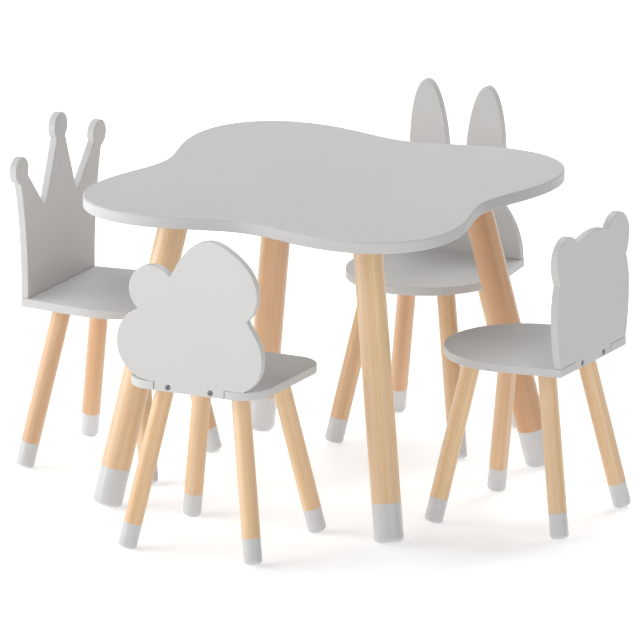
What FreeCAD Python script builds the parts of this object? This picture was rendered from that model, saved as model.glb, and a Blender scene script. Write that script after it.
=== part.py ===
import FreeCAD, Part
import math
import os

# Kids table with four animal-and-shape back chairs, in millimetres.
# Frame: +Z up, the floor is Z = 0, the origin is on the floor under the middle of the tabletop.
# The bear chair stands on +X, the crown chair on -X, the bunny chair on +Y, the cloud chair on -Y.

# ---------------------------------------------------------------- table
TABLE_HEIGHT = 502.0
TOP_THICKNESS = 19.5
TOP_MEAN_RADIUS = 341.0        # the tabletop edge swings about this radius ...
TOP_LOBE_DEPTH = 55.0          # ... by this much, four times round
TOP_LOBES = 4
TOP_OUTLINE_POINTS = 48
TOP_EDGE_ROUND = 3.0
TABLE_LEG_DIAMETER = 47.5
TABLE_FOOT_X = 251.9           # where each leg's axis meets the floor
TABLE_FOOT_Y = 268.4
TABLE_LEAN_X = 0.1746          # inward lean per unit of height
TABLE_LEAN_Y = 0.179
TABLE_TIP_LENGTH = 62.0
TABLE_TIP_ROUND = 8.0
TABLE_BOLT_DIAMETER = 8.0
TABLE_BOLT_IN_LEG = 34.0
TABLE_BOLT_IN_BOARD = 12.0

# ---------------------------------------------------------------- chairs
SEAT_HEIGHT = 280.0
SEAT_THICKNESS = 14.0
SEAT_REAR = 115.5              # rear face, behind the middle of the four legs
SEAT_REAR_HALF_WIDTH = 115.0
SEAT_EDGE_ROUND = 1.5
ROUND_SEAT_RADIUS = 128.5
ROUND_SEAT_CENTRE = 6.0        # in front of the middle of the four legs
SQUARE_SEAT_HALF_WIDTH = 120.5
SQUARE_SEAT_FRONT = 128.0
SQUARE_SEAT_CORNER = 47.0
BOARD_THICKNESS = 13.0
TONGUE_HALF_WIDTH = 62.0       # tongue under each backrest, standing in a notch in the seat
NOTCH_SIDE_GAP = 1.2
NOTCH_FRONT_GAP = 1.0
CHAIR_LEG_DIAMETER = 30.0
CHAIR_FOOT = 112.4
CHAIR_LEAN = 0.1775
CHAIR_TIP_LENGTH = 40.5
CHAIR_TIP_ROUND = 6.0
CHAIR_BOLT_DIAMETER = 6.0
CHAIR_BOLT_IN_LEG = 26.0
CHAIR_BOLT_IN_BOARD = 9.0
TIP_WALL = 3.5                 # the tip is a cap over a turned-down spigot
TIP_FLOOR = 8.0
INSERT_WALL = 2.0              # threaded insert pressed into a board from below
INSERT_SPARE_DEPTH = 1.0
FIT_GAP = 0.05                 # radial room in every hidden fit

# ---------------------------------------------------------------- backrest screws
SCREW_HALF_SPACING = 37.5
SCREW_DEPTH = 7.0              # below the top face of the seat
SCREW_FLANGE_DIAMETER = 8.4
SCREW_FLANGE_THICKNESS = 0.9
SCREW_CAP_DIAMETER = 6.0
SCREW_CAP_THICKNESS = 1.7
SCREW_SHANK_DIAMETER = 4.4
SCREW_LENGTH = 42.0
COUNTERBORE_DIAMETER = 9.0
COUNTERBORE_DEPTH = 3.0
SOCKET_ACROSS_FLATS = 3.4
SOCKET_DEPTH = 2.0

# ---------------------------------------------------------------- backrest shapes
# Coordinates are (across, up): across is to the right seen from behind the chair,
# up is above the top face of the seat.
CLOUD_BASE_LEFT = (-68.5, 0.0)
CLOUD_LOWER_LEFT = ((-128.5, 60.0), (-90.5, 116.0))
CLOUD_UPPER_LEFT = ((-106.5, 150.0), (-33.5, 174.0))
CLOUD_TOP_LOBE = [(-16.0, 204.0), (10.0, 231.0), (39.0, 239.5), (81.0, 222.0), (111.0, 192.0),
                  (120.8, 157.0), (102.5, 117.5)]
CLOUD_LOWER_RIGHT = [(111.0, 102.8), (124.6, 79.6), (129.0, 55.0), (120.0, 21.0), (109.0, 9.3),
                     (95.0, 0.0)]

BEAR_BASE = (115.0, 0.0)
BEAR_CHEEK_LOW = ((124.5, 44.0), (127.6, 86.0))
BEAR_CHEEK_HIGH = ((125.7, 108.0), (117.3, 136.0))
BEAR_EAR_SIDE = ((125.6, 154.0), (128.3, 173.0))
BEAR_EAR_TOP = ((92.0, 209.5), (55.0, 190.5))
BEAR_CROWN = (0.0, 200.5)

CROWN_BASE = (116.0, 0.0)
CROWN_SIDE = ((120.3, 97.0), (138.5, 194.0))
CROWN_VALLEY = (54.0, 138.0)
CROWN_SIDE_KNOB = (133.8, 215.4)
CROWN_MIDDLE_KNOB = (0.0, 258.5)
CROWN_SIDE_SPIKE_INNER = (114.5, 205.5)
CROWN_MIDDLE_SPIKE_HALF_WIDTH = 14.0
CROWN_MIDDLE_SPIKE_TOP = 241.0
CROWN_KNOB_RADIUS = 22.0

BUNNY_HEAD_HALF_WIDTH = 115.0
BUNNY_HEAD_HEIGHT = 124.0
BUNNY_EAR_CENTRE = (49.6, 150.0)
BUNNY_EAR_HALF_WIDTH = 34.5
BUNNY_EAR_HALF_HEIGHT = 129.5
BUNNY_EAR_LEAN = 2.1           # degrees, outward

# ---------------------------------------------------------------- where the chairs stand
# name, middle of the four legs on the floor, turn about +Z (0 faces +Y)
CHAIRS = (
    ("cloud_chair", 4.0, -363.0, 0.0),
    ("bear_chair", 367.0, -9.0, 90.0),
    ("bunny_chair", 7.5, 350.0, 180.0),
    ("crown_chair", -365.0, -5.0, -90.0),
)

# The four corners of a leg set, seen by a child sitting on the chair.
CORNERS = (
    ("front_left", -1, 1),
    ("front_right", 1, 1),
    ("rear_left", -1, -1),
    ("rear_right", 1, -1),
)

UP = FreeCAD.Vector(0, 0, 1)
ORIGIN = FreeCAD.Vector(0, 0, 0)


def vec(x, y, z=0.0):
    return FreeCAD.Vector(x, y, z)


def mirrored(point):
    return (-point[0], point[1])


def line(start, end):
    return Part.LineSegment(vec(*start), vec(*end)).toShape()


def arc(start, through, end):
    return Part.Arc(vec(*start), vec(*through), vec(*end)).toShape()


def curve(points):
    spline = Part.BSplineCurve()
    spline.interpolate([vec(*point) for point in points])
    return spline.toShape()


def slab(edges, thickness):
    """A flat board of the closed outline, from z = 0 up."""
    outline = Part.Wire(Part.__sortEdges__(edges))
    return Part.Face(outline).extrude(vec(0, 0, thickness))


def rounded_rims(board, thickness, radius):
    """Round the edges all round a flat board's lower and upper faces."""
    tolerance = 0.01
    rims = []
    for edge in board.Edges:
        box = edge.BoundBox
        level = box.ZLength < tolerance
        if level and (abs(box.ZMin) < tolerance or abs(box.ZMax - thickness) < tolerance):
            rims.append(edge)
    return board.makeFillet(radius, rims)


def drill(radius, length, start, direction):
    return Part.makeCylinder(radius, length, start, direction)


# ================================================================ legs

class LegSet:
    """Sizes of one kind of splayed round leg and of the hardware in its top."""

    def __init__(self, diameter, foot_x, foot_y, lean_x, lean_y, board_underside,
                 tip_length, tip_round, bolt_diameter, bolt_in_leg, bolt_in_board):
        self.radius = diameter / 2
        self.foot_x = foot_x
        self.foot_y = foot_y
        self.lean_x = lean_x
        self.lean_y = lean_y
        self.board_underside = board_underside
        self.tip_length = tip_length
        self.tip_round = tip_round
        self.bolt_radius = bolt_diameter / 2
        self.bolt_in_leg = bolt_in_leg
        self.bolt_in_board = bolt_in_board
        self.insert_radius = self.bolt_radius + FIT_GAP + INSERT_WALL

    def axis(self, side_x, side_y):
        """Unit vector up along the leg that stands at one corner."""
        direction = vec(-side_x * self.lean_x, -side_y * self.lean_y, 1.0)
        return direction.normalize()

    def axis_point(self, side_x, side_y, height):
        return vec(side_x * (self.foot_x - self.lean_x * height),
                   side_y * (self.foot_y - self.lean_y * height), height)

    def bottom_centre(self, side_x, side_y):
        """Middle of the tip's flat end, set so that its rounded rim just reaches the floor."""
        upright = self.axis(side_x, side_y).z
        tilt = math.sqrt(1 - upright ** 2)
        height = (self.radius - self.tip_round) * tilt + self.tip_round * (1 - upright)
        return self.axis_point(side_x, side_y, height)

    def stand(self, shape, side_x, side_y):
        """Lean a shape modelled along +Z from the tip's end into its place."""
        lean = FreeCAD.Rotation(UP, self.axis(side_x, side_y))
        shape.Placement = FreeCAD.Placement(self.bottom_centre(side_x, side_y), lean)
        return shape

    def spigot(self, room):
        """The turned-down end of the leg that the tip covers, grown by some room for the socket."""
        radius = self.radius - TIP_WALL + room
        length = self.tip_length - TIP_FLOOR + room
        return Part.makeCylinder(radius, length, vec(0, 0, TIP_FLOOR - room))

    def tip(self, side_x, side_y):
        """A closed-ended sleeve with a rounded rim, as wide as the leg."""
        rim = self.tip_round * (1 - math.sqrt(0.5))
        end_radius = self.radius - self.tip_round
        profile = [
            line((0, 0), (end_radius, 0)),
            arc((end_radius, 0), (self.radius - rim, rim), (self.radius, self.tip_round)),
            line((self.radius, self.tip_round), (self.radius, self.tip_length)),
            line((self.radius, self.tip_length), (0, self.tip_length)),
            line((0, self.tip_length), (0, 0)),
        ]
        half_section = Part.Face(Part.Wire(profile))
        half_section.rotate(ORIGIN, vec(1, 0, 0), 90)
        body = half_section.revolve(ORIGIN, UP, 360)
        body = body.cut(self.spigot(FIT_GAP))
        return self.stand(body, side_x, side_y)

    def leg(self, side_x, side_y):
        length = self.board_underside / self.axis(side_x, side_y).z + 2 * self.radius
        shaft = Part.makeCylinder(self.radius, length - self.tip_length, vec(0, 0, self.tip_length))
        shaft = self.stand(shaft.fuse(self.spigot(0)), side_x, side_y)
        reach = 4 * self.radius
        middle = self.axis_point(side_x, side_y, self.board_underside)
        above = Part.makeBox(reach, reach, reach, middle - vec(reach / 2, reach / 2))
        bolt_hole = drill(self.bolt_radius + FIT_GAP, self.bolt_in_leg + 1, middle, -UP)
        return shaft.cut(above).cut(bolt_hole).removeSplitter()

    def bolt(self, side_x, side_y):
        """Hanger bolt: wood thread down in the leg, machine thread up in the board's insert."""
        middle = self.axis_point(side_x, side_y, self.board_underside)
        length = self.bolt_in_leg + self.bolt_in_board
        foot = middle - vec(0, 0, self.bolt_in_leg)
        shank = Part.makeCylinder(self.bolt_radius, length, foot)
        chamfer = self.bolt_radius / 4
        ends = [edge for edge in shank.Edges if len(edge.Vertexes) == 1]
        return shank.makeChamfer(chamfer, ends)

    def insert(self, side_x, side_y):
        """Threaded insert, flush with the board's underside."""
        middle = self.axis_point(side_x, side_y, self.board_underside)
        sleeve = Part.makeCylinder(self.insert_radius, self.bolt_in_board, middle)
        return sleeve.cut(drill(self.bolt_radius + FIT_GAP, self.bolt_in_board, middle, UP))

    def insert_bores(self):
        """The blind bores that a board needs for its four inserts."""
        bores = []
        for _, side_x, side_y in CORNERS:
            middle = self.axis_point(side_x, side_y, self.board_underside)
            depth = self.bolt_in_board + INSERT_SPARE_DEPTH
            bores.append(drill(self.insert_radius + FIT_GAP, depth, middle, UP))
        return bores


TABLE_LEGS = LegSet(TABLE_LEG_DIAMETER, TABLE_FOOT_X, TABLE_FOOT_Y, TABLE_LEAN_X, TABLE_LEAN_Y,
                    TABLE_HEIGHT - TOP_THICKNESS, TABLE_TIP_LENGTH, TABLE_TIP_ROUND,
                    TABLE_BOLT_DIAMETER, TABLE_BOLT_IN_LEG, TABLE_BOLT_IN_BOARD)
CHAIR_LEGS = LegSet(CHAIR_LEG_DIAMETER, CHAIR_FOOT, CHAIR_FOOT, CHAIR_LEAN, CHAIR_LEAN,
                    SEAT_HEIGHT - SEAT_THICKNESS, CHAIR_TIP_LENGTH, CHAIR_TIP_ROUND,
                    CHAIR_BOLT_DIAMETER, CHAIR_BOLT_IN_LEG, CHAIR_BOLT_IN_BOARD)


def leg_nodes(prefix, legs):
    """Four legs in nodes of their own; tips, bolts and inserts as groups."""
    nodes = {}
    for corner, side_x, side_y in CORNERS:
        nodes[f"{prefix}_leg_{corner}"] = legs.leg(side_x, side_y)
    for group, maker in (("leg_tips", legs.tip), ("hanger_bolts", legs.bolt), ("threaded_inserts", legs.insert)):
        pieces = [maker(side_x, side_y) for _, side_x, side_y in CORNERS]
        nodes[f"{prefix}_{group}"] = Part.Compound(pieces)
    return nodes


# ================================================================ table

def tabletop_radius(angle):
    return TOP_MEAN_RADIUS - TOP_LOBE_DEPTH * math.cos(TOP_LOBES * angle)


def tabletop():
    """A board whose edge swings in and out round the middle, one lobe over each leg."""
    points = []
    for step in range(TOP_OUTLINE_POINTS):
        angle = 2 * math.pi * step / TOP_OUTLINE_POINTS
        radius = tabletop_radius(angle)
        points.append(vec(radius * math.cos(angle), radius * math.sin(angle)))
    edge = Part.BSplineCurve()
    edge.interpolate(Points=points, PeriodicFlag=True)
    board = slab([edge.toShape()], TOP_THICKNESS)
    board = rounded_rims(board, TOP_THICKNESS, TOP_EDGE_ROUND)
    board.translate(vec(0, 0, TABLE_HEIGHT - TOP_THICKNESS))
    return board.cut(TABLE_LEGS.insert_bores())


def table_nodes():
    nodes = {"table_top": tabletop()}
    nodes.update(leg_nodes("table", TABLE_LEGS))
    return nodes


# ================================================================ seats
# A chair is modelled facing +Y, with the middle of its four legs over the origin.

def round_seat_outline():
    """A circle in front, straight sides running from it to square rear corners."""
    corner = vec(SEAT_REAR_HALF_WIDTH, -SEAT_REAR)
    centre = vec(0, ROUND_SEAT_CENTRE)
    reach = corner - centre
    turn = math.acos(ROUND_SEAT_RADIUS / reach.Length)
    angle = math.atan2(reach.y, reach.x) + turn
    touch = (ROUND_SEAT_RADIUS * math.cos(angle), ROUND_SEAT_CENTRE + ROUND_SEAT_RADIUS * math.sin(angle))
    rear = (SEAT_REAR_HALF_WIDTH, -SEAT_REAR)
    front = (0, ROUND_SEAT_CENTRE + ROUND_SEAT_RADIUS)
    return [
        line(mirrored(rear), rear),
        line(rear, touch),
        arc(touch, front, mirrored(touch)),
        line(mirrored(touch), mirrored(rear)),
    ]


def square_seat_outline():
    """A rectangle with large round corners."""
    right, front, rear = SQUARE_SEAT_HALF_WIDTH, SQUARE_SEAT_FRONT, -SEAT_REAR
    inset = SQUARE_SEAT_CORNER
    bulge = inset * (1 - math.sqrt(0.5))
    return [
        line((-right + inset, rear), (right - inset, rear)),
        arc((right - inset, rear), (right - bulge, rear + bulge), (right, rear + inset)),
        line((right, rear + inset), (right, front - inset)),
        arc((right, front - inset), (right - bulge, front - bulge), (right - inset, front)),
        line((right - inset, front), (-right + inset, front)),
        arc((-right + inset, front), (-right + bulge, front - bulge), (-right, front - inset)),
        line((-right, front - inset), (-right, rear + inset)),
        arc((-right, rear + inset), (-right + bulge, rear + bulge), (-right + inset, rear)),
    ]


def seat(outline):
    """The seat board, with its notch for the tongue, insert bores and screw pilots."""
    board = slab(outline, SEAT_THICKNESS)
    board = rounded_rims(board, SEAT_THICKNESS, SEAT_EDGE_ROUND)
    board.translate(vec(0, 0, SEAT_HEIGHT - SEAT_THICKNESS))
    half_width = TONGUE_HALF_WIDTH + NOTCH_SIDE_GAP
    depth = BOARD_THICKNESS + NOTCH_FRONT_GAP
    notch = Part.makeBox(2 * half_width, depth, SEAT_THICKNESS,
                         vec(-half_width, -SEAT_REAR, SEAT_HEIGHT - SEAT_THICKNESS))
    cuts = CHAIR_LEGS.insert_bores() + [notch]
    for screw_x in (-SCREW_HALF_SPACING, SCREW_HALF_SPACING):
        start = vec(screw_x, -SEAT_REAR, SEAT_HEIGHT - SCREW_DEPTH)
        cuts.append(drill(SCREW_SHANK_DIAMETER / 2 + FIT_GAP, SCREW_LENGTH + 2, start, vec(0, 1, 0)))
    return board.cut(cuts)


# ================================================================ backrests

def tongue_outline(base_right, base_left):
    """From the right end of the base, down round the tongue and out to the left end."""
    edge = TONGUE_HALF_WIDTH
    corners = [base_right, (edge, 0), (edge, -SEAT_THICKNESS), (-edge, -SEAT_THICKNESS), (-edge, 0), base_left]
    return [line(start, end) for start, end in zip(corners, corners[1:])]


def cloud_outline():
    edges = tongue_outline(CLOUD_LOWER_RIGHT[-1], CLOUD_BASE_LEFT)
    edges.append(arc(CLOUD_BASE_LEFT, *CLOUD_LOWER_LEFT))
    edges.append(arc(CLOUD_LOWER_LEFT[1], *CLOUD_UPPER_LEFT))
    edges.append(curve([CLOUD_UPPER_LEFT[1]] + CLOUD_TOP_LOBE))
    edges.append(curve([CLOUD_TOP_LOBE[-1]] + CLOUD_LOWER_RIGHT))
    return edges


def bear_outline():
    right = [
        (BEAR_BASE, *BEAR_CHEEK_LOW),
        (BEAR_CHEEK_LOW[1], *BEAR_CHEEK_HIGH),
        (BEAR_CHEEK_HIGH[1], *BEAR_EAR_SIDE),
        (BEAR_EAR_SIDE[1], *BEAR_EAR_TOP),
    ]
    edges = tongue_outline(BEAR_BASE, mirrored(BEAR_BASE))
    edges += [arc(*three) for three in right]
    edges.append(arc(BEAR_EAR_TOP[1], BEAR_CROWN, mirrored(BEAR_EAR_TOP[1])))
    edges += [arc(*[mirrored(point) for point in three]) for three in right]
    return edges


def crown_outline():
    middle_top = (CROWN_MIDDLE_SPIKE_HALF_WIDTH, CROWN_MIDDLE_SPIKE_TOP)
    knob_x, knob_z = CROWN_SIDE_KNOB
    lean = math.radians(70)
    knob_far = (knob_x + CROWN_KNOB_RADIUS * math.cos(lean), knob_z + CROWN_KNOB_RADIUS * math.sin(lean))
    middle_far = (0, CROWN_MIDDLE_KNOB[1] + CROWN_KNOB_RADIUS)
    edges = tongue_outline(CROWN_BASE, mirrored(CROWN_BASE))
    edges.append(arc(middle_top, middle_far, mirrored(middle_top)))
    for side in (lambda point: point, mirrored):
        edges.append(arc(side(CROWN_BASE), side(CROWN_SIDE[0]), side(CROWN_SIDE[1])))
        edges.append(arc(side(CROWN_SIDE[1]), side(knob_far), side(CROWN_SIDE_SPIKE_INNER)))
        edges.append(line(side(CROWN_SIDE_SPIKE_INNER), side(CROWN_VALLEY)))
        edges.append(line(side(CROWN_VALLEY), side(middle_top)))
    return edges


def half_ellipse_head():
    """Half an ellipse standing on the seat, with the tongue below it."""
    base = (BUNNY_HEAD_HALF_WIDTH, 0)
    ellipse = Part.Ellipse(vec(0, BUNNY_HEAD_HEIGHT), vec(BUNNY_HEAD_HALF_WIDTH, 0), ORIGIN)
    top = Part.ArcOfEllipse(ellipse, -math.pi / 2, math.pi / 2).toShape()
    return slab(tongue_outline(base, mirrored(base)) + [top], BOARD_THICKNESS)


def bunny_ear(side):
    ellipse = Part.Ellipse(vec(0, BUNNY_EAR_HALF_HEIGHT), vec(BUNNY_EAR_HALF_WIDTH, 0), ORIGIN)
    ear = slab([ellipse.toShape()], BOARD_THICKNESS)
    ear.rotate(ORIGIN, UP, -side * BUNNY_EAR_LEAN)
    ear.translate(vec(side * BUNNY_EAR_CENTRE[0], BUNNY_EAR_CENTRE[1]))
    return ear


def bunny_board():
    return half_ellipse_head().fuse([bunny_ear(-1), bunny_ear(1)]).removeSplitter()


def backrest(flat_board):
    """Drill the board for its screws and stand it up at the back of the seat."""
    for screw_x in (-SCREW_HALF_SPACING, SCREW_HALF_SPACING):
        outer = vec(screw_x, -SCREW_DEPTH, BOARD_THICKNESS)
        flat_board = flat_board.cut(drill(COUNTERBORE_DIAMETER / 2, COUNTERBORE_DEPTH, outer, -UP))
        flat_board = flat_board.cut(drill(SCREW_SHANK_DIAMETER / 2 + FIT_GAP, BOARD_THICKNESS, outer, -UP))
    flat_board.rotate(ORIGIN, vec(1, 0, 0), 90)
    flat_board.translate(vec(0, BOARD_THICKNESS - SEAT_REAR, SEAT_HEIGHT))
    return flat_board


def back_screw(screw_x):
    """Socket-head screw through the tongue into the rear edge of the seat."""
    sink = COUNTERBORE_DEPTH
    flange = Part.makeCylinder(SCREW_FLANGE_DIAMETER / 2, SCREW_FLANGE_THICKNESS, vec(0, 0, -sink))
    cap_base = SCREW_FLANGE_THICKNESS - sink
    cap = Part.makeCylinder(SCREW_CAP_DIAMETER / 2, SCREW_CAP_THICKNESS, vec(0, 0, cap_base))
    shank = Part.makeCylinder(SCREW_SHANK_DIAMETER / 2, SCREW_LENGTH - sink, vec(0, 0, -SCREW_LENGTH))
    point = Part.makeCone(0, SCREW_SHANK_DIAMETER / 2, SCREW_SHANK_DIAMETER,
                          vec(0, 0, -SCREW_LENGTH))
    tip_blank = Part.makeCylinder(SCREW_SHANK_DIAMETER, SCREW_SHANK_DIAMETER, vec(0, 0, -SCREW_LENGTH))
    screw = flange.fuse(cap).fuse(shank.cut(tip_blank).fuse(point))
    socket_floor = cap_base + SCREW_CAP_THICKNESS - SOCKET_DEPTH
    corner_radius = SOCKET_ACROSS_FLATS / 2 / math.cos(math.pi / 6)
    corners = []
    for corner in range(7):
        turn = corner * math.pi / 3
        corners.append(vec(corner_radius * math.cos(turn), corner_radius * math.sin(turn), socket_floor))
    hexagon = Part.Face(Part.makePolygon(corners))
    screw = screw.cut(hexagon.extrude(vec(0, 0, SOCKET_DEPTH)))
    screw.rotate(ORIGIN, vec(1, 0, 0), 90)
    screw.translate(vec(screw_x, -SEAT_REAR, SEAT_HEIGHT - SCREW_DEPTH))
    return screw.removeSplitter()


def flat(outline):
    return slab(outline, BOARD_THICKNESS)


# ================================================================ chairs

def chair_nodes(name, seat_outline, board):
    nodes = {f"{name}_seat": seat(seat_outline), f"{name}_backrest": backrest(board)}
    nodes.update(leg_nodes(name, CHAIR_LEGS))
    screws = [back_screw(screw_x) for screw_x in (-SCREW_HALF_SPACING, SCREW_HALF_SPACING)]
    nodes[f"{name}_back_screws"] = Part.Compound(screws)
    return nodes


def placed(shape, x, y, turn):
    shape.rotate(ORIGIN, UP, turn)
    shape.translate(vec(x, y))
    return shape


def all_nodes():
    designs = {
        "cloud_chair": (square_seat_outline(), flat(cloud_outline())),
        "bear_chair": (round_seat_outline(), flat(bear_outline())),
        "bunny_chair": (round_seat_outline(), bunny_board()),
        "crown_chair": (round_seat_outline(), flat(crown_outline())),
    }
    nodes = table_nodes()
    for name, x, y, turn in CHAIRS:
        for node, shape in chair_nodes(name, *designs[name]).items():
            nodes[node] = placed(shape, x, y, turn)
    return nodes


os.makedirs("parts", exist_ok=True)
for node, shape in all_nodes().items():
    for solid in shape.Solids:
        if not solid.isValid() or solid.Volume <= 0:
            print("bad solid in", node)
    print(f"{node}: {len(shape.Solids)} solid(s), {shape.Volume / 1000:.1f} cm3")
    shape.exportStep(f"parts/{node}.step")
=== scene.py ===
import bmesh
import bpy
import math
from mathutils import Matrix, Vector

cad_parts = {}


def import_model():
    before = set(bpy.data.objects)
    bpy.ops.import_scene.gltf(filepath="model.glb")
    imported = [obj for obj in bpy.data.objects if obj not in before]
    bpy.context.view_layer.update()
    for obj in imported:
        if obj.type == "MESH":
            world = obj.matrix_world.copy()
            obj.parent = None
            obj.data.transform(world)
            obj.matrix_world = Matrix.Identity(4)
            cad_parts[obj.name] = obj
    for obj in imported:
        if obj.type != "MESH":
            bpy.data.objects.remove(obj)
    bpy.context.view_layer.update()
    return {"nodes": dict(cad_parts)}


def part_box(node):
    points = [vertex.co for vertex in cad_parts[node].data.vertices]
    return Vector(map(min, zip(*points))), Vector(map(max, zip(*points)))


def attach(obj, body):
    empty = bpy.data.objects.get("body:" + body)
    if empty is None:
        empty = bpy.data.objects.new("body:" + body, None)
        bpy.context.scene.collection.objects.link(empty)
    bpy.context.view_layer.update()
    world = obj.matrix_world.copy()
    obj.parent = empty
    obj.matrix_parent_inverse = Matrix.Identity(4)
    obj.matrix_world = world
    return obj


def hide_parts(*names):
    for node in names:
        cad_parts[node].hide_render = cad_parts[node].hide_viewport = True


# Looks for the kids table and chairs. Everything is in metres, in the CAD model's frame.

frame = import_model()
scene = bpy.context.scene

UP = Vector((0, 0, 1))
CHAIRS = ("cloud_chair", "bear_chair", "bunny_chair", "crown_chair")

# ---------------------------------------------------------------- noise
# Every noise scale in this file counts features per metre.
NOISE_LOW = 0.3                # most of a noise's values lie between these
NOISE_HIGH = 0.7

# ---------------------------------------------------------------- paint
CLOUD_SCALE = 3.0              # slow drift in the colour
CLOUD_LOW = 0.35
CLOUD_HIGH = 0.65
SPECK_SCALE = 900.0            # fine grain in the colour
CLOUD_SHARE = 0.75             # of the colour's variation; the specks have the rest
SHEEN_SCALE = 35.0             # patches with more and less gloss
SHEEN_DROP = 0.02              # roughness of the glossiest patches, below the paint's own
SHEEN_RISE = 0.03              # and of the dullest, above it
PEEL_SCALE = 330.0             # orange peel
PEEL_DEPTH = 0.0004
PAINT_IOR = 1.48
PAINT_COAT_ROUGHNESS = 0.22

# ---------------------------------------------------------------- wood
# The legs' colours differ: 0 is pale straw, 1 is orange-brown, and 1.2 is a little past it.
# Part of this is each leg's own tone and part is painted shade: legs standing in shade get deeper values.
LEG_TONE_AND_PAINTED_SHADE = {
    "table_leg_front_left": 0.75,
    "table_leg_front_right": 1.2,
    "table_leg_rear_left": 0.25,
    "table_leg_rear_right": 0.0,
    "cloud_chair_leg_front_left": 0.25,
    "cloud_chair_leg_front_right": 0.0,
    "cloud_chair_leg_rear_left": 0.3,
    "cloud_chair_leg_rear_right": 0.1,
    "bear_chair_leg_front_left": 0.0,
    "bear_chair_leg_front_right": 0.45,
    "bear_chair_leg_rear_left": 0.0,
    "bear_chair_leg_rear_right": 0.1,
    "bunny_chair_leg_front_left": 0.4,
    "bunny_chair_leg_front_right": 0.45,
    "bunny_chair_leg_rear_left": 0.1,
    "bunny_chair_leg_rear_right": 0.9,
    "crown_chair_leg_front_left": 0.8,
    "crown_chair_leg_front_right": 0.15,
    "crown_chair_leg_rear_left": 0.9,
    "crown_chair_leg_rear_right": 0.65,
}
# The grain's colours, each at depth 0 and at depth 1. The deeper colours carry painted shade as well as
# the wood's own tone.
WOOD_SHADES = {
    "honey_dark": ((0.655, 0.400, 0.180), (0.550, 0.273, 0.102)),
    "honey_light": ((0.820, 0.580, 0.305), (0.690, 0.398, 0.173)),
    "blush_dark": ((0.650, 0.410, 0.220), (0.545, 0.280, 0.124)),
    "blush_light": ((0.820, 0.600, 0.380), (0.690, 0.413, 0.214)),
}
# Layers of the grain: noise scale across the leg and along it, noise detail,
# and the noise values that become 0 and 1.
GRAIN = {
    "band": (90, 1.6, 1.0, 0.30, 0.70),
    "tint": (60, 0.9, 1.0, 0.35, 0.65),
    "line": (420, 5.0, 2.0, 0.30, 0.70),
    "fibre": (1500, 22, 2.0, 0.30, 0.70),
    "fleck": (1100, 90, 1.0, 0.68, 0.80),
}
GRAIN_STEP = (0.31, 0.17, 0.9)     # moves the grain from each leg to the next
BAND_SHARE = 0.52              # of the grain's light and dark
LINE_SHARE = 0.24
FIBRE_SHARE = 0.24
FLECK_STRENGTH = 0.22
FLECK_COLOUR = (0.40, 0.22, 0.11, 1)
WOOD_SMOOTH = 0.40             # roughness where the fibre layer is 0
WOOD_ROUGH = 0.52              # and where it is 1
FIBRE_RELIEF = 0.6
LINE_RELIEF = 0.4
WOOD_BUMP = 0.2
WOOD_BUMP_DEPTH = 0.0002
LACQUER_IOR = 1.7
LACQUER_ROUGHNESS = 0.38

# ---------------------------------------------------------------- metal
PLATING_SCALE = 700.0          # patches in the plating
PLATING_DULL = 0.1             # roughness of the dullest patches, above the metal's own
PLATING_BRIGHT = 0.05          # and of the brightest, below it
MARKS_SCALE = 2500.0           # turning marks
MARKS_BUMP = 0.15
MARKS_DEPTH = 0.0001

# ---------------------------------------------------------------- backrest boards
BOARD_EDGE_ROUND = 0.0016      # softened edge of each backrest board
BOARD_EDGE_STEPS = 4
BOARD_RIM_ANGLE = 60           # degrees: an edge bent more than this is a rim
BOARD_SHARP_ANGLE = 40
FLAT_ANGLE = 0.2               # degrees: faces closer to flat than this are joined
SAME_POINT = 1e-6
SAME_PLANE = 1e-5

# ---------------------------------------------------------------- screws
SCREW_HEAD_RADIUS = 0.0042     # the flange, the widest part
SCREW_STEPS = 48
SCREW_SHARP_ANGLE = 32
HEXAGON_SIDE_ANGLE = math.radians(60)
# Rings of a screw from the floor of its socket, over the head, to its point: (radius,
# depth below the top of the head, whether it is six-sided, with the radius to its flats)
SCREW_RINGS = (
    (0.00170, 0.00200, True),
    (0.00170, 0.00025, True),
    (0.00190, 0.00004, True),
    (0.00230, 0.00000, False),
    (0.00262, 0.00012, False),
    (0.00290, 0.00046, False),
    (0.00300, 0.00110, False),
    (0.00300, 0.00160, False),
    (0.00315, 0.00172, False),
    (0.00395, 0.00172, False),
    (0.00420, 0.00195, False),
    (0.00420, 0.00250, False),
    (0.00400, 0.00260, False),
    (0.00220, 0.00260, False),
    (0.00220, 0.03720, False),
    (0.00030, 0.04130, False),
)

# ---------------------------------------------------------------- floor and lights
FLOOR_HALF_WIDTH = 12.0
FLOOR_NOISE_SCALE = 4.0
FLOOR_DARK = 0.88
FLOOR_LIGHT = 0.90
FLOOR_ROUGHNESS = 0.9
FLOOR_GLOW_NEAR = 0.38         # the floor's own light, so that it reads white
FLOOR_GLOW_FAR = 0.80
FLOOR_GLOW_FROM = 1.2          # distances from the table's middle
FLOOR_GLOW_TO = 3.0
# Square softboxes: azimuth, elevation, distance from the middle of the set, width, watts
LIGHTS = {
    "key": (-55, 22, 5.0, 4.0, 166),
    "side_left": (-95, 27, 5.0, 4.0, 72),
    "front": (0, 22, 5.0, 4.0, 37),
    "fill_right": (60, 25, 5.0, 5.0, 70),
    "rear_top": (180, 55, 4.5, 3.0, 130),
}
LIGHT_AIM = Vector((0, 0, 0.3))
WORLD_STRENGTH = 0.1

# ---------------------------------------------------------------- camera
CAMERA_AZIMUTH = 26.95
CAMERA_ELEVATION = 14.98
CAMERA_LENS = 1600.0           # millimetres: long enough for nearly parallel lines
SENSOR_WIDTH = 36.0
VIEW_WIDTH = 1.019             # width of the view at the table
VIEW_RIGHT = -0.0067           # from the table's middle on the floor to the middle of the view
VIEW_UP = 0.2641
CLIP_START = 1.0
CLIP_END = 3                   # times the camera's distance


# ================================================================ shader helpers

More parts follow.
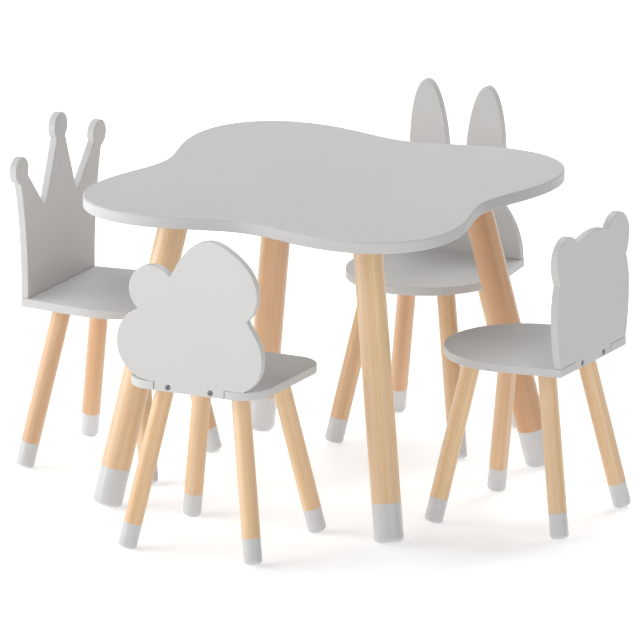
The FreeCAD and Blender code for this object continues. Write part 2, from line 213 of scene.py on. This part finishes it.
def new_material(name):
    material = bpy.data.materials.new(name)
    material.use_nodes = True
    tree = material.node_tree
    return material, tree, tree.nodes["Principled BSDF"]


def connect(tree, socket, value):
    """Give a socket its value: a constant, or another socket to link from."""
    if isinstance(value, bpy.types.NodeSocket):
        tree.links.new(value, socket)
    else:
        socket.default_value = value


def put(tree, kind, inputs=None, **settings):
    """Add one node, with its settings and the values of its inputs."""
    node = tree.nodes.new(kind)
    for key, value in settings.items():
        setattr(node, key, value)
    for key, value in (inputs or {}).items():
        connect(tree, node.inputs[key], value)
    return node


def object_place(tree):
    return put(tree, "ShaderNodeTexCoord").outputs["Object"]


def stretched(tree, vector, scale):
    return put(tree, "ShaderNodeVectorMath", {0: vector, 1: scale}, operation="MULTIPLY").outputs[0]


def noise(tree, vector, scale, detail=2.0):
    inputs = {"Vector": vector, "Scale": scale, "Detail": detail, "Roughness": 0.5}
    return put(tree, "ShaderNodeTexNoise", inputs).outputs["Fac"]


def span(tree, value, low, high, to_low=0.0, to_high=1.0):
    """The value, moved from the range low to high to another range."""
    inputs = {"Value": value, "From Min": low, "From Max": high, "To Min": to_low, "To Max": to_high}
    return put(tree, "ShaderNodeMapRange", inputs).outputs["Result"]


def maths(tree, operation, first, second):
    return put(tree, "ShaderNodeMath", {0: first, 1: second}, operation=operation).outputs[0]


def weighted(tree, value, share):
    return maths(tree, "MULTIPLY", value, share)


def blended(tree, factor, first, second):
    """Colour mix of two colours, each a constant or a socket."""
    mix = tree.nodes.new("ShaderNodeMix")
    mix.data_type = "RGBA"
    # With colours, a Mix node reads its inputs 0, 6 and 7 and gives its output 2.
    connect(tree, mix.inputs[0], factor)
    connect(tree, mix.inputs[6], first)
    connect(tree, mix.inputs[7], second)
    return mix.outputs[2]


def bump(tree, shader, height, strength, distance):
    inputs = {"Height": height, "Strength": strength, "Distance": distance}
    node = put(tree, "ShaderNodeBump", inputs)
    tree.links.new(node.outputs["Normal"], shader.inputs["Normal"])


# ================================================================ materials

def paint(name, light, dark, roughness, peel, coat=0.0):
    """Sprayed satin paint: faint cloudiness in the colour, orange peel, uneven sheen."""
    material, tree, shader = new_material(name)
    where = object_place(tree)
    cloud = span(tree, noise(tree, where, CLOUD_SCALE, detail=3.0), CLOUD_LOW, CLOUD_HIGH)
    speck = span(tree, noise(tree, where, SPECK_SCALE, detail=1.0), NOISE_LOW, NOISE_HIGH)
    tone = maths(tree, "ADD", weighted(tree, cloud, CLOUD_SHARE), weighted(tree, speck, 1 - CLOUD_SHARE))
    tree.links.new(blended(tree, tone, (*dark, 1), (*light, 1)), shader.inputs["Base Color"])
    patches = noise(tree, where, SHEEN_SCALE, detail=3.0)
    sheen = span(tree, patches, NOISE_LOW, NOISE_HIGH, roughness - SHEEN_DROP, roughness + SHEEN_RISE)
    tree.links.new(sheen, shader.inputs["Roughness"])
    bump(tree, shader, noise(tree, where, PEEL_SCALE), peel, PEEL_DEPTH)
    shader.inputs["IOR"].default_value = PAINT_IOR
    shader.inputs["Coat Weight"].default_value = coat
    shader.inputs["Coat Roughness"].default_value = PAINT_COAT_ROUGHNESS
    return material


def leg_axis(node):
    """(foot, unit vector up the leg) from the rings of points at the leg's two ends."""
    head_ring_depth = 0.0005
    foot_ring_depth = 0.002
    points = [vertex.co.copy() for vertex in frame["nodes"][node].data.vertices]
    top = max(point.z for point in points)
    head_ring = [point for point in points if point.z > top - head_ring_depth]
    head = sum(head_ring, Vector()) / len(head_ring)
    lean = (head - sum(points, Vector()) / len(points)).normalized()
    low = min(point.dot(lean) for point in points)
    foot_ring = [point for point in points if point.dot(lean) < low + foot_ring_depth]
    foot = sum(foot_ring, Vector()) / len(foot_ring)
    return foot, (head - foot).normalized()


def along_leg(tree, node, number):
    """Shader position with Z up the leg, moved so that no two legs have the same grain."""
    foot, axis = leg_axis(node)
    turn = axis.rotation_difference(UP)
    shift = -(turn @ foot) + Vector([step * number for step in GRAIN_STEP])
    inputs = {"Vector": object_place(tree), "Location": shift, "Rotation": turn.to_euler()}
    return put(tree, "ShaderNodeMapping", inputs).outputs[0]


def grain(tree, along, layer):
    """One layer of the grain, as a value from 0 to 1. The stretch sets its scale."""
    across_scale, along_scale, detail, low, high = GRAIN[layer]
    place = stretched(tree, along, (across_scale, across_scale, along_scale))
    return span(tree, noise(tree, place, 1.0, detail), low, high)


def wood_shade(shade, depth):
    """One colour of the grain: the first of its pair at depth 0, the second at depth 1."""
    pale, deep = WOOD_SHADES[shade]
    return (*(first + (second - first) * depth for first, second in zip(pale, deep)), 1)


def wood(name, node, number):
    """Pale turned wood with its grain along the leg, under a thin satin lacquer."""
    material, tree, shader = new_material(name)
    along = along_leg(tree, node, number)
    band, tint, line, fibre, fleck = (grain(tree, along, layer) for layer in GRAIN)
    tone = maths(tree, "ADD", weighted(tree, band, BAND_SHARE), weighted(tree, line, LINE_SHARE))
    tone = maths(tree, "ADD", tone, weighted(tree, fibre, FIBRE_SHARE))
    # A leg's depth is partly its own tone and partly painted shade, deeper for legs that stand in shade.
    depth = LEG_TONE_AND_PAINTED_SHADE[node]
    honey = blended(tree, tone, wood_shade("honey_dark", depth), wood_shade("honey_light", depth))
    blush = blended(tree, tone, wood_shade("blush_dark", depth), wood_shade("blush_light", depth))
    colour = blended(tree, tint, honey, blush)
    colour = blended(tree, weighted(tree, fleck, FLECK_STRENGTH), colour, FLECK_COLOUR)
    tree.links.new(colour, shader.inputs["Base Color"])
    tree.links.new(span(tree, fibre, 0.0, 1.0, WOOD_SMOOTH, WOOD_ROUGH), shader.inputs["Roughness"])
    height = maths(tree, "ADD", weighted(tree, fibre, FIBRE_RELIEF), weighted(tree, line, LINE_RELIEF))
    bump(tree, shader, height, WOOD_BUMP, WOOD_BUMP_DEPTH)
    shader.inputs["Coat Weight"].default_value = 1.0
    shader.inputs["Coat IOR"].default_value = LACQUER_IOR
    shader.inputs["Coat Roughness"].default_value = LACQUER_ROUGHNESS
    return material


def metal(name, light, dark, roughness):
    """Plated steel with fine turning marks and uneven plating."""
    material, tree, shader = new_material(name)
    where = object_place(tree)
    patch = span(tree, noise(tree, where, PLATING_SCALE, detail=3.0), NOISE_LOW, NOISE_HIGH)
    tree.links.new(blended(tree, patch, (*dark, 1), (*light, 1)), shader.inputs["Base Color"])
    sheen = span(tree, patch, 0.0, 1.0, roughness + PLATING_DULL, roughness - PLATING_BRIGHT)
    tree.links.new(sheen, shader.inputs["Roughness"])
    bump(tree, shader, noise(tree, where, MARKS_SCALE), MARKS_BUMP, MARKS_DEPTH)
    shader.inputs["Metallic"].default_value = 1.0
    return material


def dress(thing, material):
    thing.data.materials.clear()
    thing.data.materials.append(material)


board_paint = paint("board_paint", (0.570, 0.567, 0.561), (0.550, 0.547, 0.541), roughness=0.50, peel=0.10)
tip_paint = paint("tip_paint", (0.615, 0.618, 0.620), (0.575, 0.578, 0.579), roughness=0.34, peel=0.07,
                  coat=0.9)
bolt_steel = metal("bolt_steel", (0.62, 0.62, 0.64), (0.50, 0.50, 0.52), roughness=0.32)
insert_zinc = metal("insert_zinc", (0.68, 0.68, 0.70), (0.55, 0.55, 0.57), roughness=0.38)
# The screws' steel is made dark so that each screw paints in the shade of its counterbore.
screw_steel = metal("screw_steel", (0.36, 0.36, 0.37), (0.14, 0.14, 0.15), roughness=0.18)

# The finish of every node that isn't a leg, by the end of its name
FINISHES = {
    "seat": board_paint,
    "backrest": board_paint,
    "top": board_paint,
    "leg_tips": tip_paint,
    "hanger_bolts": bolt_steel,
    "threaded_inserts": insert_zinc,
    "back_screws": screw_steel,
}
for number, (node, thing) in enumerate(sorted(frame["nodes"].items())):
    if node in LEG_TONE_AND_PAINTED_SHADE:
        dress(thing, wood("wood_" + node, node, number))
        continue
    for ending, material in FINISHES.items():
        if node.endswith(ending):
            dress(thing, material)


# ================================================================ new objects

def linked(name, data):
    thing = bpy.data.objects.new(name, data)
    scene.collection.objects.link(thing)
    return thing


def solid(name, shape, material, sharp_angle):
    """Object of a finished bmesh, smooth apart from edges bent more than an angle in degrees."""
    mesh = bpy.data.meshes.new(name)
    shape.to_mesh(mesh)
    shape.free()
    for face in mesh.polygons:
        face.use_smooth = True
    mesh.set_sharp_from_angle(angle=math.radians(sharp_angle))
    thing = linked(name, mesh)
    dress(thing, material)
    return thing


# ================================================================ backrest boards and screws

def across_axis(chair):
    """0 or 1: the axis through the thickness of a chair's backrest."""
    return 0 if chair in ("bear_chair", "crown_chair") else 1


def softened_board(node, across):
    """The board with its long edges rounded. across is 0 or 1, the axis through its thickness."""
    low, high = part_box(node)
    shape = bmesh.new()
    shape.from_mesh(frame["nodes"][node].data)
    bmesh.ops.remove_doubles(shape, verts=shape.verts, dist=SAME_POINT)
    bmesh.ops.dissolve_limit(shape, angle_limit=math.radians(FLAT_ANGLE), verts=shape.verts,
                             edges=shape.edges)

    def on_a_face(vertex):
        place = vertex.co[across]
        return min(abs(place - low[across]), abs(place - high[across])) < SAME_PLANE

    rims = []
    for edge in shape.edges:
        outer = all(on_a_face(vertex) for vertex in edge.verts) and len(edge.link_faces) == 2
        if outer and edge.calc_face_angle() > math.radians(BOARD_RIM_ANGLE):
            rims.append(edge)
    bmesh.ops.bevel(shape, geom=rims, offset=BOARD_EDGE_ROUND, offset_type="OFFSET",
                    segments=BOARD_EDGE_STEPS, profile=0.5, affect="EDGES", clamp_overlap=False,
                    loop_slide=True)
    board = solid(node + "_soft", shape, board_paint, BOARD_SHARP_ANGLE)
    flatten = board.modifiers.new("face_weighted_normals", "WEIGHTED_NORMAL")
    flatten.keep_sharp = True
    return board


def screw_ring(centre, side, radius, six_sided):
    """Points round one ring of a screw."""
    points = []
    for step in range(SCREW_STEPS):
        turn = math.tau * step / SCREW_STEPS
        reach = radius
        if six_sided:
            reach = radius / math.cos(turn % HEXAGON_SIDE_ANGLE - HEXAGON_SIDE_ANGLE / 2)
        points.append(centre + (side * math.cos(turn) + UP * math.sin(turn)) * reach)
    return points


def turned_screw(head, outward):
    """Socket-head screw of one closed skin. head is the middle of its outer face."""
    shape = bmesh.new()
    side = outward.cross(UP)
    previous = None
    for radius, sink, six_sided in SCREW_RINGS:
        points = screw_ring(head - outward * sink, side, radius, six_sided)
        ring = [shape.verts.new(point) for point in points]
        if previous is None:
            shape.faces.new(ring)
        else:
            for step in range(SCREW_STEPS):
                after = (step + 1) % SCREW_STEPS
                shape.faces.new((previous[step], previous[after], ring[after], ring[step]))
        previous = ring
    shape.faces.new(previous[::-1])
    bmesh.ops.recalc_face_normals(shape, faces=shape.faces)
    return solid("back_screw", shape, screw_steel, SCREW_SHARP_ANGLE)


def back_screws(chair):
    """The two screws of one backrest, with their heads where the CAD screws have theirs."""
    low, high = (Vector(corner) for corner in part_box(chair + "_back_screws"))
    across = across_axis(chair)
    along = 1 - across
    board_low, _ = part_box(chair + "_backrest")
    outer_is_high = board_low[across] > 0
    outward = Vector((0, 0, 0))
    outward[across] = 1 if outer_is_high else -1
    screws = []
    for end in (low[along] + SCREW_HEAD_RADIUS, high[along] - SCREW_HEAD_RADIUS):
        head = (low + high) / 2
        head[along] = end
        head[across] = high[across] if outer_is_high else low[across]
        screws.append(turned_screw(head, outward))
    return screws


for chair in CHAIRS:
    node = chair + "_backrest"
    board = softened_board(node, across_axis(chair))
    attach(board, chair)
    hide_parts(node)
    for number, screw in enumerate(back_screws(chair)):
        screw.name = f"{chair}_back_screw_{number + 1}"
        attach(screw, chair)
        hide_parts(chair + "_back_screws")


# ================================================================ floor, light and camera

def direction(azimuth, elevation):
    """Unit vector from the table to a place round it. azimuth 0 is on -Y, 90 on +X."""
    turn = math.radians(azimuth)
    rise = math.radians(elevation)
    return Vector((math.sin(turn) * math.cos(rise), -math.cos(turn) * math.cos(rise), math.sin(rise)))


def floor():
    """White floor that gives off some light of its own, more of it further out."""
    mesh = bpy.data.meshes.new("floor")
    reach = FLOOR_HALF_WIDTH
    corners = [(-reach, -reach, 0), (reach, -reach, 0), (reach, reach, 0), (-reach, reach, 0)]
    mesh.from_pydata(corners, [], [(0, 1, 2, 3)])
    plane = linked("floor", mesh)
    material, tree, shader = new_material("floor_white")
    where = object_place(tree)
    patches = noise(tree, where, FLOOR_NOISE_SCALE)
    tone = span(tree, patches, NOISE_LOW, NOISE_HIGH, FLOOR_DARK, FLOOR_LIGHT)
    colour = put(tree, "ShaderNodeCombineColor", {"Red": tone, "Green": tone, "Blue": tone}).outputs[0]
    tree.links.new(colour, shader.inputs["Base Color"])
    shader.inputs["Roughness"].default_value = FLOOR_ROUGHNESS
    shader.inputs["Specular IOR Level"].default_value = 0.0
    shader.inputs["Emission Color"].default_value = (1, 1, 1, 1)
    from_table = put(tree, "ShaderNodeVectorMath", {0: where}, operation="LENGTH").outputs["Value"]
    glow = span(tree, from_table, FLOOR_GLOW_FROM, FLOOR_GLOW_TO, FLOOR_GLOW_NEAR, FLOOR_GLOW_FAR)
    tree.links.new(glow, shader.inputs["Emission Strength"])
    dress(plane, material)


def softbox(name, azimuth, elevation, distance, width, watts):
    """A square light aimed at the middle of the set, unseen by the camera."""
    toward = direction(azimuth, elevation)
    data = bpy.data.lights.new(name, "AREA")
    data.size = width
    data.energy = watts
    lamp = linked(name, data)
    lamp.location = LIGHT_AIM + toward * distance
    lamp.rotation_euler = toward.to_track_quat("Z", "Y").to_euler()
    lamp.visible_camera = False


def world():
    studio = bpy.data.worlds.new("studio")
    studio.use_nodes = True
    background = studio.node_tree.nodes["Background"]
    background.inputs["Color"].default_value = (1, 1, 1, 1)
    background.inputs["Strength"].default_value = WORLD_STRENGTH
    scene.world = studio


def camera():
    """A long lens far away, for nearly parallel lines."""
    turn = math.radians(CAMERA_AZIMUTH)
    back = direction(CAMERA_AZIMUTH, CAMERA_ELEVATION)
    right = Vector((math.cos(turn), math.sin(turn), 0))
    distance = CAMERA_LENS / SENSOR_WIDTH * VIEW_WIDTH
    data = bpy.data.cameras.new("camera")
    data.sensor_width = SENSOR_WIDTH
    data.lens = CAMERA_LENS
    data.clip_start = CLIP_START
    data.clip_end = CLIP_END * distance
    eye = linked("camera", data)
    eye.location = right * VIEW_RIGHT + back.cross(right) * VIEW_UP + back * distance
    eye.rotation_euler = back.to_track_quat("Z", "Y").to_euler()
    scene.camera = eye


floor()
for name, setting in LIGHTS.items():
    softbox(name, *setting)
camera()
world()
scene.view_settings.view_transform = "Standard"
